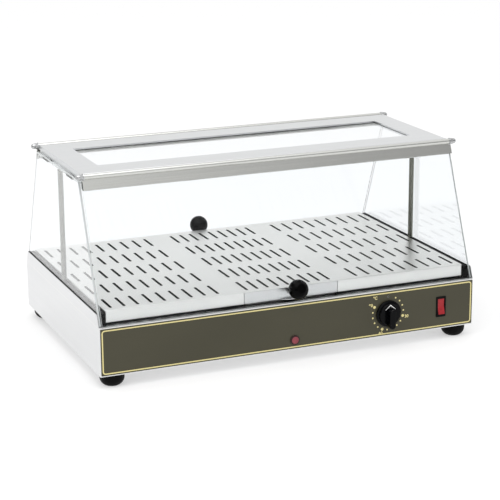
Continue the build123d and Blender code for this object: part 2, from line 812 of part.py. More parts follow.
with BuildPart() as thermostat_body:
    with BuildSketch(front_plane(dial_x, dial_z, housing_inner)):
        RectangleRounded(44, 34, 3)
    extrude(amount=-26)
    with BuildSketch(front_plane(dial_x, dial_z, housing_inner)):
        Circle(shaft_hole_radius - 0.3)
        Circle(3.1, mode=Mode.SUBTRACT)
    extrude(amount=sheet + fascia_thickness + 1)
    with BuildSketch(front_plane(dial_x, dial_z, panel_face - 1)):
        Circle(3.1)
    extrude(amount=-10, mode=Mode.SUBTRACT)
    for x in (-12, 0, 12):
        with Locations((dial_x + x, housing_inner + 26, dial_z)):
            Box(6.3, 8, 0.8, align=(Align.CENTER, Align.MIN, Align.CENTER))
keep(thermostat_body, "thermostat_body")

with BuildPart() as thermostat_shaft:
    with BuildSketch(front_plane(dial_x, dial_z, housing_inner + 7)):
        Circle(3)
    extrude(amount=24)
    with Locations((dial_x, knob_back, dial_z + 1.5)):
        Box(8, 30, 3, align=(Align.CENTER, Align.MAX, Align.MIN), mode=Mode.SUBTRACT)
keep(thermostat_shaft, "thermostat_shaft")

with BuildPart() as thermostat_knob:
    with BuildSketch(Plane(origin=(dial_x, knob_back, dial_z), x_dir=(1, 0, 0), z_dir=(0, 0, 1))):
        with BuildLine():
            Polyline((0, 0), (knob_skirt_radius - 0.5, 0), (knob_skirt_radius, -0.5),
                     (knob_skirt_radius, -2.5), (knob_skirt_radius - 1, -3.4), (knob_hub_radius + 1, -4),
                     (knob_hub_radius, 1 - knob_hub_height), (knob_hub_radius - 1, -knob_hub_height),
                     (0, -knob_hub_height), close=True)
        make_face()
    revolve(axis=Axis((dial_x, 0, dial_z), (0, 1, 0)))
    with BuildSketch(front_plane(dial_x, dial_z, knob_back - 6)):
        with Locations((0, -grip_drop)):
            SlotOverall(grip_length, grip_width, rotation=90)
    extrude(amount=15, taper=3)
    fillet(thermostat_knob.faces().sort_by(Axis.Y)[0].edges(), radius=1.2)
    with BuildSketch(front_plane(dial_x, dial_z, knob_back)):
        Circle(3)
    extrude(amount=16, mode=Mode.SUBTRACT)
    with Locations((dial_x, knob_back, dial_z + 1.55)):
        Box(5, 16, 1.4, align=(Align.CENTER, Align.MAX, Align.MIN))
keep(thermostat_knob, "thermostat_knob")

bulb_start = (dial_x, housing_inner + 16, dial_z + 17)
bulb_route = [bulb_start, (dial_x, housing_inner + 16, 103), (dial_x, -196, 103), (255, -196, 103)]

with BuildPart() as thermostat_bulb:
    with BuildLine() as capillary_line:
        FilletPolyline(*bulb_route, radius=9)
    with BuildSketch(Plane(origin=bulb_start, z_dir=(0, 0, 1))):
        Circle(1)
    sweep(path=capillary_line.line)
    with BuildSketch(Plane(origin=bulb_route[-1], z_dir=(1, 0, 0))):
        Circle(3)
    extrude(amount=80)
keep(thermostat_bulb, "thermostat_bulb")

# ---------------------------------------------------------------- switch
bezel_width = 21.5
bezel_height = 42
rocker_width = 14.4
rocker_height = 31.5
rocker_pivot_y = panel_face + 4

with BuildPart() as switch_housing:
    with BuildSketch(front_plane(switch_x, switch_z, panel_face)):
        RectangleRounded(bezel_width, bezel_height, 1.5)
    extrude(amount=2)
    chamfer(switch_housing.faces().sort_by(Axis.Y)[0].edges(), length=0.8)
    with BuildSketch(front_plane(switch_x, switch_z, panel_face)):
        Rectangle(switch_cutout[0] - 0.6, switch_cutout[1] - 0.6)
    extrude(amount=-24)
    with BuildSketch(front_plane(switch_x, switch_z, panel_face - 2)):
        Rectangle(rocker_width + 0.8, rocker_height + 1.6)
    extrude(amount=-15, mode=Mode.SUBTRACT)
    for x in (-5, 5):
        for z in (-10, 10):
            with Locations((switch_x + x, panel_face + 24, switch_z + z)):
                Box(0.8, 8, 4.8, align=(Align.CENTER, Align.MIN, Align.CENTER))
keep(switch_housing, "switch_housing")

# the rocker's face is two flats that meet over the pivot; at rest its lower half stands out
tilt = radians(rocker_swing / 2)
half_rocker = rocker_height / 2
rocker_profile = [(-half_rocker, 6.8), (0, 4.6), (half_rocker, 6.8), (half_rocker - 2.2, -3), (0, -5),
                  (-half_rocker + 2.2, -3)]


def rocker_point(along, out):
    """A point of the rocker's outline, turned to its rest tilt about the pivot."""
    z = along * cos(tilt) + out * sin(tilt)
    reach = out * cos(tilt) - along * sin(tilt)
    return (rocker_pivot_y - reach, switch_z + z)


with BuildPart() as switch_rocker:
    with BuildSketch(Plane(origin=(switch_x, 0, 0), x_dir=(0, 1, 0), z_dir=(1, 0, 0))):
        with BuildLine():
            Polyline(*[rocker_point(*point) for point in rocker_profile], close=True)
        make_face()
    extrude(amount=rocker_width / 2, both=True)
    fillet(switch_rocker.faces().filter_by(Axis.X).edges(), radius=0.5)
keep(switch_rocker, "switch_rocker")

# ---------------------------------------------------------------- pilot lamp
with BuildPart() as pilot_lamp_body:
    with BuildSketch(front_plane(0, lamp_z, panel_face)):
        Circle(9.5)
        Circle(7.9, mode=Mode.SUBTRACT)
    extrude(amount=2)
    with BuildSketch(front_plane(0, lamp_z, panel_face)):
        Circle(9.5)
    extrude(amount=0.6)
    with BuildSketch(front_plane(0, lamp_z, panel_face)):
        Circle(lamp_hole_radius - 0.2)
    extrude(amount=-22)
keep(pilot_lamp_body, "pilot_lamp_body")

with BuildPart() as pilot_lamp_lens:
    with BuildSketch(front_plane(0, lamp_z, panel_face - 0.6)):
        Circle(7.8)
    extrude(amount=2.6)
    fillet(pilot_lamp_lens.faces().sort_by(Axis.Y)[0].edges(), radius=1.5)
keep(pilot_lamp_lens, "pilot_lamp_lens")

# ---------------------------------------------------------------- wiring and inlet
terminal_x = 300
terminal_y = 150

with BuildPart() as terminal_block:
    with Locations((terminal_x, terminal_y, bottom_plate_z + 1)):
        Box(62, 22, 20, align=(Align.CENTER, Align.CENTER, Align.MIN))
    fillet(terminal_block.edges().filter_by(Axis.Z), radius=1.5)
    with BuildSketch(Plane.XY.offset(bottom_plate_z + 21)):
        with Locations((terminal_x, terminal_y)):
            with GridLocations(11, 11, 5, 2):
                Circle(2.6)
    extrude(amount=-6, mode=Mode.SUBTRACT)
keep(terminal_block, "terminal_block")

wire_radius = 1.3
wire_level = bottom_plate_z + 14
# each lead: where it leaves the terminal block, and the point behind a control where it ends
switch_back = panel_face + 32.5
thermostat_back = housing_inner + 34.5
lead_ends = [
    ((terminal_x - 22, terminal_y - 11), (switch_x - 5, switch_back), switch_z - 10),
    ((terminal_x - 11, terminal_y - 11), (switch_x + 5, switch_back), switch_z - 10),
    ((terminal_x, terminal_y - 11), (dial_x - 12, thermostat_back), dial_z),
    ((terminal_x + 11, terminal_y - 11), (dial_x + 12, thermostat_back), dial_z),
]

with BuildPart() as wire_loom:
    for number, (start, end, level) in enumerate(lead_ends):
        run_y = -100 - 9 * number
        run_z = wire_level + 4 * number
        route = [(start[0], start[1], run_z), (start[0], run_y, run_z), (end[0], run_y - 30, run_z),
                 (end[0], end[1] + 14, level), (end[0], end[1], level)]
        with BuildLine() as wire_line:
            FilletPolyline(*route, radius=6)
        with BuildSketch(Plane(origin=route[0], z_dir=(0, -1, 0))):
            Circle(wire_radius)
        sweep(path=wire_line.line)
keep(wire_loom, "wire_loom")

with BuildPart() as cable_gland:
    with BuildSketch(rear_plane(gland_x, gland_z, half_depth - 8)):
        Circle(8)
    extrude(amount=10)
    with BuildSketch(rear_plane(gland_x, gland_z, half_depth)):
        RegularPolygon(12, 6)
    extrude(amount=5)
    with BuildSketch(rear_plane(gland_x, gland_z, half_depth + 5)):
        Circle(10.5)
    extrude(amount=14, taper=4)
    fillet(cable_gland.faces().sort_by(Axis.Y)[-1].edges(), radius=2.5)
    with BuildSketch(rear_plane(gland_x, gland_z, half_depth - 8)):
        Circle(cord_radius)
    extrude(amount=40, mode=Mode.SUBTRACT)
keep(cable_gland, "cable_gland")

with BuildPart() as gland_nut:
    with BuildSketch(rear_plane(gland_x, gland_z, half_depth - sheet)):
        RegularPolygon(12, 6)
        Circle(8, mode=Mode.SUBTRACT)
    extrude(amount=-4)
keep(gland_nut, "gland_nut")

with BuildPart() as rating_plate:
    with BuildSketch(rear_plane(rating_plate_x, rating_plate_z)):
        RectangleRounded(90, 50, 3)
    extrude(amount=0.6)
    with BuildSketch(rear_plane(rating_plate_x, rating_plate_z, half_depth + 0.6)):
        with GridLocations(80, 40, 2, 2):
            Circle(2)
    extrude(amount=0.8)
keep(rating_plate, "rating_plate")

with BuildPart() as earth_stud:
    with BuildSketch(Plane.XY.offset(bottom_plate_z + 1)):
        with Locations((220, 150)):
            Circle(2.5)
    extrude(amount=16)
    with BuildSketch(Plane.XY.offset(bottom_plate_z + 1)):
        with Locations((220, 150)):
            RegularPolygon(4.6, 6)
    extrude(amount=4)
    with BuildSketch(Plane.XY.offset(bottom_plate_z + 9)):
        with Locations((220, 150)):
            RegularPolygon(4.6, 6)
    extrude(amount=4)
keep(earth_stud, "earth_stud")
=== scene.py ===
import json
import math

import bpy
from mathutils import Matrix, Vector


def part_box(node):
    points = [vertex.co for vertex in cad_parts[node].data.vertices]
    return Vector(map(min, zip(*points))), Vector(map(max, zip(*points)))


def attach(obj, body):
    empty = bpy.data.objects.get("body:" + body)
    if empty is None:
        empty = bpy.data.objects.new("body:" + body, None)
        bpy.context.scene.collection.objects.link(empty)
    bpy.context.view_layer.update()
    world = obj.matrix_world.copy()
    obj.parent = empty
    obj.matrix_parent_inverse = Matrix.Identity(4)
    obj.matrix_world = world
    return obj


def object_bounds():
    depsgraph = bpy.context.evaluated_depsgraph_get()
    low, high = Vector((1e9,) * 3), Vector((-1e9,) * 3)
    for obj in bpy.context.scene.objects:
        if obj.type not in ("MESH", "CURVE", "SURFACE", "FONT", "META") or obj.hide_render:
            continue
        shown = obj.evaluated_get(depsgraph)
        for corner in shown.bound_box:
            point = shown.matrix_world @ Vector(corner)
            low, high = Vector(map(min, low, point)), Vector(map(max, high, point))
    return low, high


# Looks of a countertop heated display case. The CAD nodes keep their meshes and get materials here.
# Added pieces: the print on the front panel, the pointer on the dial and the rules on the rating
# plate. Metres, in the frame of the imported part.

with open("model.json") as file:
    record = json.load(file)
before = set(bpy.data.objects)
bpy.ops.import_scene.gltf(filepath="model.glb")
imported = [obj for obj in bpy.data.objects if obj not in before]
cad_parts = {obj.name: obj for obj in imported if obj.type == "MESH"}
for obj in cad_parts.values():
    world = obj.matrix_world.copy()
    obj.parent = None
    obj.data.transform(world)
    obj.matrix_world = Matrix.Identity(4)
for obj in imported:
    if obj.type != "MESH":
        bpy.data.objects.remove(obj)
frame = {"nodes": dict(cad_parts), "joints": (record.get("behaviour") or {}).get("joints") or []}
cad_low, cad_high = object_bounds()
nodes = frame["nodes"]
joints = {joint["name"]: joint for joint in frame["joints"]}

MM = 0.001
# These are the CAD's own values, which the frame doesn't give.
DOOR_LEAN = math.radians(21.8)
DIAL_HUB_HEIGHT = 9.2 * MM
RATING_PLATE_THICKNESS = 0.6 * MM


# ---------------------------------------------------------------- camera, light and floor
def add_camera():
    """The camera stands to the left of the case and looks slightly down on it."""
    stands_at = (-1.2426, -2.9984, 1.0756)
    degrees_right = 22.69
    degrees_down = 15.77
    degrees_rolled = -0.39
    data = bpy.data.cameras.new("camera")
    data.sensor_width = 36
    data.lens = 119.74
    camera = bpy.data.objects.new("camera", data)
    bpy.context.scene.collection.objects.link(camera)
    heading = Matrix.Rotation(math.radians(-degrees_right), 4, "Z")
    tilt = Matrix.Rotation(math.radians(90 - degrees_down), 4, "X")
    roll = Matrix.Rotation(math.radians(degrees_rolled), 4, "Z")
    camera.matrix_world = Matrix.Translation(stands_at) @ heading @ tilt @ roll
    bpy.context.scene.camera = camera


SURROUNDINGS_STRENGTH = 1.02
# Each studio flag: the direction it stands in, the cosines of the angles from there at which its dark
# patch begins and is full, and the brightness left in its middle.
FLAGS = [
    {"towards": (0.72, -0.66, 0.20), "fades_from": 0.78, "full_at": 1.0, "brightness": 0.26},
    {"towards": (-0.75, -0.65, 0.10), "fades_from": 0.90, "full_at": 0.99, "brightness": 0.08},
]


def add_world():
    """White surroundings. Glossy rays see dark flags in them, as stainless steel does in a studio."""
    world = bpy.data.worlds.new("studio")
    bpy.context.scene.world = world
    world.use_nodes = True
    tree = world.node_tree
    background = tree.nodes["Background"]
    background.inputs["Strength"].default_value = SURROUNDINGS_STRENGTH
    direction = tree.nodes.new("ShaderNodeTexCoord").outputs["Generated"]
    product = None
    for flag in FLAGS:
        towards = tree.nodes.new("ShaderNodeVectorMath")
        towards.operation = "DOT_PRODUCT"
        towards.inputs[1].default_value = Vector(flag["towards"]).normalized()
        brightness = tree.nodes.new("ShaderNodeMapRange")
        brightness.interpolation_type = "SMOOTHSTEP"
        brightness.inputs["From Min"].default_value = flag["fades_from"]
        brightness.inputs["From Max"].default_value = flag["full_at"]
        brightness.inputs["To Min"].default_value = 1
        brightness.inputs["To Max"].default_value = flag["brightness"]
        tree.links.new(direction, towards.inputs[0])
        tree.links.new(towards.outputs["Value"], brightness.inputs["Value"])
        if product is None:
            product = brightness.outputs["Result"]
            continue
        both = tree.nodes.new("ShaderNodeMath")
        both.operation = "MULTIPLY"
        tree.links.new(product, both.inputs[0])
        tree.links.new(brightness.outputs["Result"], both.inputs[1])
        product = both.outputs["Value"]
    path = tree.nodes.new("ShaderNodeLightPath")
    colour = tree.nodes.new("ShaderNodeMix")
    colour.data_type = "RGBA"
    colour.inputs["A"].default_value = (1, 1, 1, 1)
    tree.links.new(path.outputs["Is Glossy Ray"], colour.inputs["Factor"])
    tree.links.new(product, colour.inputs["B"])
    tree.links.new(colour.outputs["Result"], background.inputs["Color"])


def add_softbox(name, place, target, size, power):
    """A square area lamp that points at a target and can't be seen itself."""
    data = bpy.data.lights.new(name, "AREA")
    data.size = size
    data.energy = power
    lamp = bpy.data.objects.new(name, data)
    lamp.location = place
    lamp.rotation_euler = (Vector(target) - Vector(place)).to_track_quat("-Z", "Y").to_euler()
    lamp.visible_camera = False
    bpy.context.scene.collection.objects.link(lamp)


def add_floor():
    """A wide pale floor just under the feet. Some light of its own keeps the shadow on it pale."""
    half = 12
    below_feet = 0.02 * MM
    mesh = bpy.data.meshes.new("floor")
    corners = [(-half, -half, 0), (half, -half, 0), (half, half, 0), (-half, half, 0)]
    mesh.from_pydata(corners, [], [(0, 1, 2, 3)])
    floor = bpy.data.objects.new("floor", mesh)
    bpy.context.scene.collection.objects.link(floor)
    floor.location.z = cad_low.z - below_feet
    recipe = Recipe("floor_white")
    recipe.set(Base_Color=(0.50, 0.50, 0.50, 1), Roughness=0.9)
    recipe.set(Emission_Color=(1, 1, 1, 1), Emission_Strength=0.45)
    mesh.materials.append(recipe.material)


# ---------------------------------------------------------------- material building
class Recipe:
    """A material being built around its Principled shader, with textures placed in metres."""

    def __init__(self, name):
        self.material = bpy.data.materials.new(name)
        self.material.use_nodes = True
        self.tree = self.material.node_tree
        self.shader = self.tree.nodes["Principled BSDF"]
        self.place = self.tree.nodes.new("ShaderNodeTexCoord").outputs["Object"]
        self.height = None

    def node(self, kind, **settings):
        """A new shader node with the given properties."""
        made = self.tree.nodes.new(kind)
        for key, value in settings.items():
            setattr(made, key, value)
        return made

    def feed(self, source, target):
        """Links a socket to another."""
        self.tree.links.new(source, target)

    def set(self, **values):
        """Sets inputs of the Principled shader, with underscores for the spaces in their names."""
        for key, value in values.items():
            self.shader.inputs[key.replace("_", " ")].default_value = value

    def noise(self, per_metre, detail=3.0, shift=0.0):
        """Noise with the given number of cells per metre along X, Y and Z."""
        mapping = self.node("ShaderNodeMapping")
        mapping.inputs["Scale"].default_value = per_metre
        mapping.inputs["Location"].default_value = (shift, shift, shift)
        noise = self.node("ShaderNodeTexNoise")
        noise.inputs["Scale"].default_value = 1
        noise.inputs["Detail"].default_value = detail
        self.feed(self.place, mapping.inputs["Vector"])
        self.feed(mapping.outputs["Vector"], noise.inputs["Vector"])
        return noise.outputs["Fac"]

    def spread(self, source, low, high):
        """A number that goes from low to high as the noise goes over its usual range."""
        usual_low, usual_high = 0.3, 0.7
        spread = self.node("ShaderNodeMapRange")
        spread.inputs["From Min"].default_value = usual_low
        spread.inputs["From Max"].default_value = usual_high
        spread.inputs["To Min"].default_value = low
        spread.inputs["To Max"].default_value = high
        self.feed(source, spread.inputs["Value"])
        return spread.outputs["Result"]

    def edge_of_sheet(self, face_normal):
        """1 on the cut edges of a flat sheet whose faces have this normal, and 0 on its faces."""
        least_on_a_face = 0.9
        normal = self.node("ShaderNodeTexCoord").outputs["Normal"]
        facing = self.node("ShaderNodeVectorMath", operation="DOT_PRODUCT")
        facing.inputs[1].default_value = face_normal
        size = self.node("ShaderNodeMath", operation="ABSOLUTE")
        edge = self.node("ShaderNodeMath", operation="LESS_THAN")
        edge.inputs[1].default_value = least_on_a_face
        self.feed(normal, facing.inputs[0])
        self.feed(facing.outputs["Value"], size.inputs[0])
        self.feed(size.outputs["Value"], edge.inputs[0])
        return edge.outputs["Value"]

    def inside(self, half_x, half_y):
        """1 within a rectangle around the Z axis, and 0 outside it."""
        split = self.node("ShaderNodeSeparateXYZ")
        self.feed(self.place, split.inputs["Vector"])
        masks = []
        for axis, half in (("X", half_x), ("Y", half_y)):
            size = self.node("ShaderNodeMath", operation="ABSOLUTE")
            within = self.node("ShaderNodeMath", operation="LESS_THAN")
            within.inputs[1].default_value = half
            self.feed(split.outputs[axis], size.inputs[0])
            self.feed(size.outputs["Value"], within.inputs[0])
            masks.append(within.outputs["Value"])
        both = self.node("ShaderNodeMath", operation="MULTIPLY")
        self.feed(masks[0], both.inputs[0])
        self.feed(masks[1], both.inputs[1])
        return both.outputs["Value"]

    def blend_value(self, factor, first, second):
        """A number between two others; each may be a number or a socket."""
        mix = self.node("ShaderNodeMix", data_type="FLOAT")
        for value, socket in ((first, "A"), (second, "B")):
            if isinstance(value, (int, float)):
                mix.inputs[socket].default_value = value
            else:
                self.feed(value, mix.inputs[socket])
        self.feed(factor, mix.inputs["Factor"])
        return mix.outputs["Result"]

    def blend(self, factor, first, second):
        """A colour between two others; each may be a colour or a socket."""
        mix = self.node("ShaderNodeMix", data_type="RGBA")
        for value, socket in ((first, "A"), (second, "B")):
            if isinstance(value, tuple):
                mix.inputs[socket].default_value = (*value, 1)
            else:
                self.feed(value, mix.inputs[socket])
        self.feed(factor, mix.inputs["Factor"])
        return mix.outputs["Result"]

    def colour(self, source):
        """Links a socket to the shader's colour."""
        self.feed(source, self.shader.inputs["Base Color"])

    def roughness(self, source):
        """Links a socket to the shader's roughness."""
        self.feed(source, self.shader.inputs["Roughness"])

    def bump(self, source, depth, strength):
        """Adds relief of a depth in metres to what is already there."""
        bump = self.node("ShaderNodeBump")
        bump.inputs["Distance"].default_value = depth
        bump.inputs["Strength"].default_value = strength
        self.feed(source, bump.inputs["Height"])
        if self.height is not None:
            self.feed(self.height, bump.inputs["Normal"])
        self.height = bump.outputs["Normal"]
        self.feed(self.height, self.shader.inputs["Normal"])


def shade(colour, factor):
    """A colour made lighter or darker."""
    return tuple(min(1.0, channel * factor) for channel in colour)


def along(axis, length_cells, cross_cells):
    """Cells per metre of a grain that runs along one axis."""
    return tuple(length_cells if letter == axis else cross_cells for letter in "XYZ")


def satin_steel(name, colour, axis, roughness, contrast=0.06, grain=0.25):
    """Stainless steel ground in straight lines along one axis, with faint wipe marks."""
    recipe = Recipe(name)
    fine = recipe.noise(along(axis, 4, 1600), detail=2)
    broad = recipe.noise(along(axis, 1.5, 160), detail=4, shift=3)
    wiped = recipe.noise((14, 14, 14), detail=6, shift=8)
    streaked = recipe.blend(fine, shade(colour, 1 - contrast), shade(colour, 1 + contrast))
    banded = recipe.blend(recipe.spread(broad, 0, 1), shade(colour, 1 - contrast / 2),
                          shade(colour, 1 + contrast / 2))
    mixed = recipe.node("ShaderNodeMix", data_type="RGBA")
    mixed.inputs["Factor"].default_value = 0.5
    recipe.feed(streaked, mixed.inputs["A"])
    recipe.feed(banded, mixed.inputs["B"])
    recipe.colour(mixed.outputs["Result"])
    recipe.roughness(recipe.spread(wiped, roughness * 0.92, roughness * 1.1))
    recipe.bump(fine, 0.01 * MM, grain)
    recipe.set(Metallic=1)
    return recipe.material


def bright_metal(name, colour, roughness):
    """Plated or polished metal with hairline scratches."""
    recipe = Recipe(name)
    scratches = recipe.noise((300, 300, 2400), detail=2)
    tarnish = recipe.noise((60, 60, 60), detail=5, shift=2)
    recipe.colour(recipe.blend(recipe.spread(tarnish, 0, 1), shade(colour, 0.94), colour))
    recipe.roughness(recipe.spread(scratches, roughness * 0.6, roughness * 1.6))
    recipe.bump(scratches, 0.004 * MM, 0.4)
    recipe.set(Metallic=1)
    return recipe.material


def moulded(name, colour, roughness, texture, depth, specular=0.4):
    """Moulded plastic or rubber with a fine texture, its depth in millimetres, and slight colour drift."""
    recipe = Recipe(name)
    pebbles = recipe.noise((texture, texture, texture), detail=2)
    drift = recipe.noise((25, 25, 25), detail=4, shift=5)
    recipe.colour(recipe.blend(recipe.spread(drift, 0, 1), shade(colour, 0.85), shade(colour, 1.15)))
    recipe.roughness(recipe.spread(drift, roughness * 0.85, roughness * 1.2))
    recipe.bump(pebbles, depth * MM, 0.5)
    recipe.set(Specular_IOR_Level=specular)
    return recipe.material


def clear_glass(name, tint, face_normal, ior=1.5):
    """Clear float glass: polished faces with a hardly visible film of wipe marks, and pale ground edges."""
    recipe = Recipe(name)
    film = recipe.noise((7, 7, 7), detail=6)
    grit = recipe.noise((900, 900, 900), detail=2)
    edge = recipe.edge_of_sheet(face_normal)
    face_tint = recipe.blend(recipe.spread(film, 0, 1), tint, shade(tint, 0.995))
    edge_tint = recipe.blend(recipe.spread(grit, 0, 1), (0.74, 0.78, 0.78), (0.86, 0.89, 0.89))
    recipe.colour(recipe.blend(edge, face_tint, edge_tint))
    recipe.roughness(recipe.blend_value(edge, recipe.spread(film, 0.0, 0.01), 0.5))
    recipe.feed(recipe.blend_value(edge, 1.0, 0.35), recipe.shader.inputs["Transmission Weight"])
    recipe.set(IOR=ior)
    return recipe.material


def deck_with_painted_shade(name, colour, half_x, half_y):
    """Satin steel whose part under the slotted plate is painted near-black: painted shade under the plate."""
    recipe = Recipe(name)
    fine = recipe.noise(along("X", 4, 1600), detail=2)
    speckle = recipe.noise((600, 600, 600), detail=3)
    under = recipe.inside(half_x, half_y)
    steel = recipe.blend(fine, shade(colour, 0.95), shade(colour, 1.05))
    # near-black painted shade where the slotted plate covers the deck, with a faint speckle
    shade_under_plate = recipe.blend(recipe.spread(speckle, 0, 1), (0.006, 0.006, 0.006), (0.012, 0.011, 0.010))
    recipe.colour(recipe.blend(under, steel, shade_under_plate))
    recipe.roughness(recipe.blend_value(under, recipe.spread(fine, 0.26, 0.34), 0.6))
    recipe.feed(recipe.blend_value(under, 1.0, 0.0), recipe.shader.inputs["Metallic"])
    recipe.bump(speckle, 0.01 * MM, 0.3)
    return recipe.material


def slotted_steel(name, colour, half_x, half_y):
    """Satin steel plate whose punched slot walls and underside are painted near-black, a painted shade in the
    slots and under the plate.
    """
    recipe = Recipe(name)
    fine = recipe.noise(along("X", 5, 1500), detail=2)
    broad = recipe.noise(along("X", 1.5, 130), detail=4, shift=3)
    wiped = recipe.noise((11, 11, 11), detail=6, shift=8)
    bright = recipe.blend(fine, shade(colour, 0.94), shade(colour, 1.04))
    banded = recipe.blend(recipe.spread(broad, 0, 0.5), bright, shade(colour, 1.03))
    least_facing_up = 0.4
    normal = recipe.node("ShaderNodeTexCoord").outputs["Normal"]
    split = recipe.node("ShaderNodeSeparateXYZ")
    not_up = recipe.node("ShaderNodeMath", operation="LESS_THAN")
    not_up.inputs[1].default_value = least_facing_up
    recipe.feed(normal, split.inputs["Vector"])
    recipe.feed(split.outputs["Z"], not_up.inputs[0])
    hidden = recipe.node("ShaderNodeMath", operation="MULTIPLY")
    recipe.feed(not_up.outputs["Value"], hidden.inputs[0])
    recipe.feed(recipe.inside(half_x, half_y), hidden.inputs[1])
    slot_wall_shade = hidden.outputs["Value"]
    # painted shade: near-black on the slot walls and underside within the slotted area
    recipe.colour(recipe.blend(slot_wall_shade, banded, (0.012, 0.011, 0.010)))
    recipe.roughness(recipe.blend_value(slot_wall_shade, recipe.spread(wiped, 0.31, 0.37), 0.8))
    recipe.bump(fine, 0.01 * MM, 0.25)
    recipe.set(Metallic=1)
    return recipe.material


def scaled_pan(name, colour):
    """The pan of the water drawer, dulled by limescale and heat."""
    recipe = Recipe(name)
    scale = recipe.noise((60, 60, 60), detail=7)
    grit = recipe.noise((800, 800, 800), detail=2, shift=3)
    recipe.colour(recipe.blend(recipe.spread(scale, 0, 1), shade(colour, 0.6), shade(colour, 1.5)))
    recipe.roughness(recipe.spread(scale, 0.45, 0.7))
    recipe.bump(grit, 0.03 * MM, 0.4)
    recipe.set(Metallic=0.6)
    return recipe.material


def clear_silicone(name):
    """Soft clear pads, slightly cloudy."""
    recipe = Recipe(name)
    cloud = recipe.noise((300, 300, 300), detail=3)
    recipe.colour(recipe.blend(recipe.spread(cloud, 0, 1), (0.90, 0.92, 0.93), (0.97, 0.98, 0.98)))
    recipe.roughness(recipe.spread(cloud, 0.15, 0.3))
    recipe.set(Transmission_Weight=0.9, IOR=1.41)
    return recipe.material


def translucent_red(name, colour, glow):
    """Red plastic that a neon lamp behind it lights a little."""
    recipe = Recipe(name)
    clouds = recipe.noise((180, 180, 180), detail=3)
    face = recipe.blend(recipe.spread(clouds, 0, 1), shade(colour, 0.8), shade(colour, 1.1))
    # the side walls are painted near-black, a painted shade; the lamp's glow likewise shows only on the face
    body = recipe.blend(recipe.edge_of_sheet((0, -1, 0)), face, shade(colour, 0.08))
    recipe.colour(body)
    recipe.roughness(recipe.spread(clouds, 0.3, 0.4))
    recipe.set(Emission_Strength=glow, Specular_IOR_Level=0.35)
    recipe.feed(body, recipe.shader.inputs["Emission Color"])
    return recipe.material


def fascia_film(name, colour):
    """A satin printed film: a fine orange-peel surface over an even bronze colour."""
    recipe = Recipe(name)
    peel = recipe.noise((700, 700, 700), detail=2)
    drift = recipe.noise((5, 5, 9), detail=3, shift=4)
    grain = recipe.noise((2600, 2600, 2600), detail=1, shift=1)
    even = recipe.blend(recipe.spread(drift, 0, 1), shade(colour, 0.93), shade(colour, 1.07))
    recipe.colour(recipe.blend(recipe.spread(grain, 0, 0.25), even, shade(colour, 0.7)))
    recipe.roughness(recipe.spread(peel, 0.36, 0.46))
    recipe.bump(peel, 0.01 * MM, 0.5)
    recipe.set(Specular_IOR_Level=0.3)
    return recipe.material


def fibre(name, colour):
    """Matted mineral fibre."""
    recipe = Recipe(name)
    clumps = recipe.noise((90, 90, 90), detail=8)
    strands = recipe.noise((40, 900, 300), detail=4, shift=6)
    recipe.colour(recipe.blend(recipe.spread(clumps, 0, 1), shade(colour, 0.7), shade(colour, 1.15)))
    recipe.bump(clumps, 1.5 * MM, 0.8)
    recipe.bump(strands, 0.4 * MM, 0.6)
    recipe.set(Roughness=0.95, Sheen_Weight=0.3)
    return recipe.material


def heat_tinted(name, colour):
    """Heater tube, straw and blue where it has run hot."""
    recipe = Recipe(name)
    bands = recipe.noise((12, 30, 30), detail=4)
    recipe.colour(recipe.blend(recipe.spread(bands, 0, 1), colour, (0.20, 0.16, 0.22)))
    recipe.roughness(recipe.spread(bands, 0.35, 0.5))
    recipe.bump(recipe.noise((900, 900, 900)), 0.01 * MM, 0.4)
    recipe.set(Metallic=1)
    return recipe.material


def printing_ink(name, colour):
    """Screen-printed ink, slightly proud and uneven."""
    recipe = Recipe(name)
    mesh_marks = recipe.noise((1800, 1800, 1800), detail=2)
    recipe.colour(recipe.blend(recipe.spread(mesh_marks, 0, 1), shade(colour, 0.9), shade(colour, 1.06)))
    recipe.roughness(recipe.spread(mesh_marks, 0.35, 0.5))
    recipe.bump(mesh_marks, 0.01 * MM, 0.5)
    return recipe.material


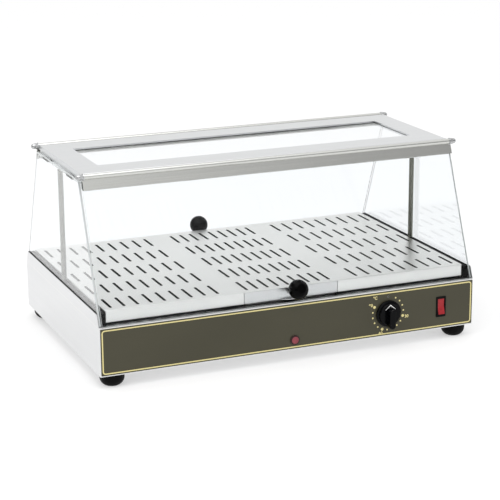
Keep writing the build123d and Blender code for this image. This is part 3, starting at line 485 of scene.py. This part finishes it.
# ---------------------------------------------------------------- materials of the CAD nodes
def finishes():
    """Each finish with the nodes that it goes on."""
    _, plate_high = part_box("slotted_plate")
    under_x = plate_high.x - 1 * MM
    under_y = plate_high.y - 1 * MM
    slots_x = under_x - 3 * MM
    slots_y = under_y - 3 * MM
    side_normal = (1, 0, 0)
    roof_normal = (0, 0, 1)
    front_normal = (0, -math.cos(DOOR_LEAN), math.sin(DOOR_LEAN))
    rear_normal = (0, math.cos(DOOR_LEAN), math.sin(DOOR_LEAN))
    glass_tint = (0.960, 0.972, 0.981)
    return [
        (satin_steel("base_steel", (0.73, 0.735, 0.74), "Y", roughness=0.3),
         ["base_housing", "bottom_plate", "glass_channel_left", "glass_channel_right"]),
        # the deck carries painted shade, near-black, under the slotted plate
        (deck_with_painted_shade("deck_steel", (0.80, 0.80, 0.79), under_x, under_y),
         ["deck_plate"]),
        (slotted_steel("plate_steel", (0.84, 0.84, 0.815), slots_x, slots_y),
         ["slotted_plate"]),
        (satin_steel("drawer_steel", (0.70, 0.705, 0.70), "X", roughness=0.3),
         ["drawer_front"]),
        (scaled_pan("pan_steel", (0.10, 0.10, 0.095)),
         ["water_drawer"]),
        (satin_steel("roof_steel", (0.655, 0.665, 0.67), "X", roughness=0.3),
         ["roof_panel"]),
        (satin_steel("rail_steel", (0.64, 0.645, 0.62), "X", roughness=0.22, contrast=0.2, grain=0.5),
         ["front_door_rail", "rear_door_rail"]),
        (satin_steel("post_steel", (0.17, 0.17, 0.145), "Z", roughness=0.2),
         ["post_left", "post_right"]),
        # near-black painted shade on the parts under the slotted plate, seen through the slots
        (moulded("support_painted_shade", (0.008, 0.008, 0.008), roughness=0.6, texture=700, depth=0.02,
                 specular=0.2),
         ["drawer_runner_left", "drawer_runner_right", "plate_support_left", "plate_support_right"]),
        (satin_steel("clip_steel", (0.6, 0.605, 0.61), "Y", roughness=0.36),
         ["roof_glass_clips"]),
        (satin_steel("rod_steel", (0.6, 0.6, 0.6), "X", roughness=0.22),
         ["hinge_rod_front", "hinge_rod_rear", "thermostat_shaft"]),
        (bright_metal("screw_zinc", (0.66, 0.67, 0.68), roughness=0.2),
         ["bottom_screws", "foot_screws", "post_nuts", "front_knob_screw", "rear_knob_screw"]),
        (bright_metal("nut_chrome", (0.50, 0.505, 0.51), roughness=0.10),
         ["hinge_cap_nuts", "hinge_washers"]),
        (satin_steel("shield_aluminium", (0.75, 0.76, 0.77), "X", roughness=0.4),
         ["heat_shield", "rating_plate"]),
        (bright_metal("stud_brass", (0.78, 0.58, 0.26), roughness=0.25),
         ["earth_stud"]),
        (bright_metal("sensor_copper", (0.72, 0.40, 0.26), roughness=0.3),
         ["thermostat_bulb"]),
        (heat_tinted("heater_tube", (0.36, 0.30, 0.24)),
         ["heating_element_left", "heating_element_right", "element_clips"]),
        (fibre("mineral_wool", (0.52, 0.48, 0.34)),
         ["insulation_mat"]),
        (fascia_film("fascia_bronze", (0.056, 0.052, 0.031)),
         ["control_panel"]),
        (moulded("foot_rubber", (0.002, 0.002, 0.002), roughness=0.5, texture=700, depth=0.05, specular=0.08),
         ["rubber_feet"]),
        (moulded("seal_rubber", (0.005, 0.005, 0.005), roughness=0.6, texture=900, depth=0.04, specular=0.2),
         ["side_glass_seals", "roof_gasket"]),
        (clear_silicone("silicone_clear"),
         ["glass_pads"]),
        (moulded("knob_black", (0.0010, 0.0010, 0.0010), roughness=0.14, texture=1200, depth=0.004,
                 specular=0.05),
         ["front_door_knob", "rear_door_knob"]),
        (moulded("dial_black", (0.0012, 0.0014, 0.0018), roughness=0.2, texture=1200, depth=0.008,
                 specular=0.10),
         ["thermostat_knob"]),
        (moulded("switch_black", (0.002, 0.002, 0.002), roughness=0.35, texture=1000, depth=0.02,
                 specular=0.10),
         ["switch_housing", "thermostat_body", "cable_gland", "gland_nut"]),
        (moulded("lamp_bezel", (0.030, 0.010, 0.010), roughness=0.3, texture=900, depth=0.01, specular=0.3),
         ["pilot_lamp_body"]),
        (moulded("nylon", (0.48, 0.48, 0.45), roughness=0.5, texture=600, depth=0.02),
         ["front_knob_washer", "rear_knob_washer"]),
        (moulded("terminal_cream", (0.62, 0.58, 0.47), roughness=0.4, texture=800, depth=0.02),
         ["terminal_block"]),
        (moulded("wire_sleeve", (0.10, 0.05, 0.03), roughness=0.5, texture=400, depth=0.02),
         ["wire_loom"]),
        (translucent_red("rocker_red", (0.30, 0.010, 0.015), glow=0.10),
         ["switch_rocker"]),
        (translucent_red("lamp_red", (0.24, 0.042, 0.056), glow=0.05),
         ["pilot_lamp_lens"]),
        (clear_glass("side_glass_clear", glass_tint, side_normal, ior=1.6),
         ["side_glass_left", "side_glass_right"]),
        (clear_glass("front_pane_clear", glass_tint, front_normal, ior=1.2),
         ["front_door_pane"]),
        (clear_glass("rear_pane_clear", glass_tint, rear_normal, ior=1.2),
         ["rear_door_pane"]),
        (clear_glass("roof_glass_clear", glass_tint, roof_normal),
         ["roof_glass"]),
    ]


def dress_nodes():
    """Puts each finish on its nodes."""
    for material, names in finishes():
        for name in names:
            mesh = nodes[name].data
            mesh.materials.clear()
            mesh.materials.append(material)


# ---------------------------------------------------------------- printed marks
PRINT = 0.1 * MM
panel_low, panel_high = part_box("control_panel")
panel_face = panel_low.y
dial_x, _, dial_z = joints["thermostat_turn"]["pos_m"]
gold = printing_ink("gold_ink", (0.72, 0.63, 0.28))
white = printing_ink("white_ink", (0.80, 0.80, 0.78))
grey = printing_ink("grey_ink", (0.12, 0.12, 0.12))


def front_place(x, y, z):
    """Local x to the right, local y up and local z out of the front."""
    return Matrix(((1, 0, 0, x), (0, 0, -1, y), (0, 1, 0, z), (0, 0, 0, 1)))


def rear_place(x, y, z):
    """Local x to the right as seen from behind, local y up and local z out of the rear."""
    return Matrix(((-1, 0, 0, x), (0, 0, 1, y), (0, 1, 0, z), (0, 0, 0, 1)))


def settle(name, curve, place, body, material):
    """Turns a filled curve into a thin solid mesh piece that rides on a body."""
    carrier = bpy.data.objects.new(name + "_curve", curve)
    bpy.context.scene.collection.objects.link(carrier)
    bpy.context.view_layer.update()
    mesh = bpy.data.meshes.new_from_object(carrier.evaluated_get(bpy.context.evaluated_depsgraph_get()))
    bpy.data.objects.remove(carrier)
    piece = bpy.data.objects.new(name, mesh)
    piece.matrix_world = place
    bpy.context.scene.collection.objects.link(piece)
    mesh.materials.clear()
    mesh.materials.append(material)
    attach(piece, body)


def printed_shape(name, loops, place, body, material):
    """A flat print bounded by closed loops of points; a loop inside another is a hole."""
    curve = bpy.data.curves.new(name, "CURVE")
    curve.dimensions = "2D"
    curve.fill_mode = "BOTH"
    curve.extrude = PRINT / 2
    for loop in loops:
        spline = curve.splines.new("POLY")
        spline.points.add(len(loop) - 1)
        spline.use_cyclic_u = True
        for point, (u, v) in zip(spline.points, loop):
            point.co = (u, v, 0, 1)
    settle(name, curve, place, body, material)


def printed_text(name, text, height, place, body, material):
    """A short generic mark in slightly bold type, centred on its place."""
    boldness = 0.25 * MM
    curve = bpy.data.curves.new(name, "FONT")
    curve.body = text
    curve.size = height
    curve.align_x = "CENTER"
    curve.align_y = "CENTER"
    curve.extrude = PRINT / 2
    curve.offset = boldness
    settle(name, curve, place, body, material)


def circle(radius):
    """The outline of a circle around the origin."""
    steps = 28
    turns = [2 * math.pi * step / steps for step in range(steps)]
    return [(radius * math.cos(turn), radius * math.sin(turn)) for turn in turns]


def rounded_rectangle(width, height, radius):
    """The outline of a rectangle with rounded corners, centred on the origin."""
    steps = 8
    points = []
    for corner, (side, end) in enumerate(((1, 1), (-1, 1), (-1, -1), (1, -1))):
        centre = (side * (width / 2 - radius), end * (height / 2 - radius))
        for step in range(steps + 1):
            angle = math.pi / 2 * (corner + step / steps)
            points.append((centre[0] + radius * math.cos(angle), centre[1] + radius * math.sin(angle)))
    return points


def on_dial(clockwise_degrees, radius):
    """A point around the dial, counted clockwise from straight up."""
    angle = math.radians(clockwise_degrees)
    return dial_x + radius * math.sin(angle), dial_z + radius * math.cos(angle)


def print_panel():
    """The gold line round the front panel."""
    out = panel_face - PRINT / 2
    width = panel_high.x - panel_low.x
    height = panel_high.z - panel_low.z
    inset = 2.4 * MM
    line = 2.3 * MM
    corner = 6 * MM
    outer = rounded_rectangle(width - 2 * inset, height - 2 * inset, corner)
    inner = rounded_rectangle(width - 2 * (inset + line), height - 2 * (inset + line), corner - line)
    middle = (panel_low + panel_high) / 2
    place = front_place(middle.x, out, middle.z)
    printed_shape("panel_gold_line", [outer, inner], place, "base", gold)


def print_scale():
    """The dial's scale: a grey off mark at the top, then dots clockwise, with every fifth one large."""
    out = panel_face - PRINT / 2
    scale_radius = 33.7 * MM
    label_radius = 42.5 * MM
    unit_radius = 44 * MM
    unit_angle = -40
    text_height = 8.4 * MM
    off_outer = 2.3 * MM
    off_inner = 1.5 * MM
    large_dot = 2.9 * MM
    small_dot = 1.7 * MM
    first_angle = 28.8
    angle_step = 19.2
    dots = 15
    labels = {4: "30", 9: "60", 14: "90"}
    x, z = on_dial(0, scale_radius)
    place = front_place(x, out, z)
    printed_shape("scale_off_ring", [circle(off_outer), circle(off_inner)], place, "base", grey)
    for mark in range(dots):
        angle = first_angle + angle_step * mark
        x, z = on_dial(angle, scale_radius)
        place = front_place(x, out, z)
        radius = large_dot if mark in labels else small_dot
        printed_shape(f"scale_mark_{mark:02d}", [circle(radius)], place, "base", gold)
        if mark in labels:
            label = labels[mark]
            x, z = on_dial(angle, label_radius)
            place = front_place(x, out, z)
            printed_text(f"scale_label_{label}", label, text_height, place, "base", gold)
    x, z = on_dial(unit_angle, unit_radius)
    printed_text("scale_unit", "°C", text_height, front_place(x, out, z), "base", gold)


def mark_dial():
    """The white chevron on the dial's hub, round the top end of its grip."""
    _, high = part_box("thermostat_knob")
    out = high.y - DIAL_HUB_HEIGHT - PRINT / 2
    reach = 20.4 * MM
    half = 11.5 * MM
    drop = 10.2 * MM
    stroke = 1.2 * MM
    tip_depth = 2.1 * stroke
    foot = reach - drop
    chevron = [(-half, foot), (0, reach), (half, foot), (half - stroke, foot), (0, reach - tip_depth),
               (-half + stroke, foot)]
    place = front_place(dial_x, out, dial_z)
    printed_shape("dial_pointer", [chevron], place, "thermostat_dial", white)


def rule_rating_plate():
    """Empty ruled lines on the plate at the rear."""
    low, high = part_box("rating_plate")
    middle = (low + high) / 2
    out = low.y + RATING_PLATE_THICKNESS + PRINT / 2
    half_length = 34 * MM
    half_width = 0.25 * MM
    first_rule = 10 * MM
    rule_spacing = 7 * MM
    rules = 5
    outline = [(-half_length, -half_width), (half_length, -half_width), (half_length, half_width),
               (-half_length, half_width)]
    for number in range(rules):
        place = rear_place(middle.x, out, high.z - first_rule - rule_spacing * number)
        printed_shape(f"rating_rule_{number}", [outline], place, "base", grey)


# ---------------------------------------------------------------- making the scene
bpy.context.scene.view_settings.view_transform = "Standard"
add_camera()
add_world()
add_softbox("overhead_softbox", place=(-0.6, -0.6, 2.6), target=(0, 0, 0.1), size=2.6, power=34)
add_floor()
dress_nodes()
print_panel()
print_scale()
mark_dial()
rule_rating_plate()
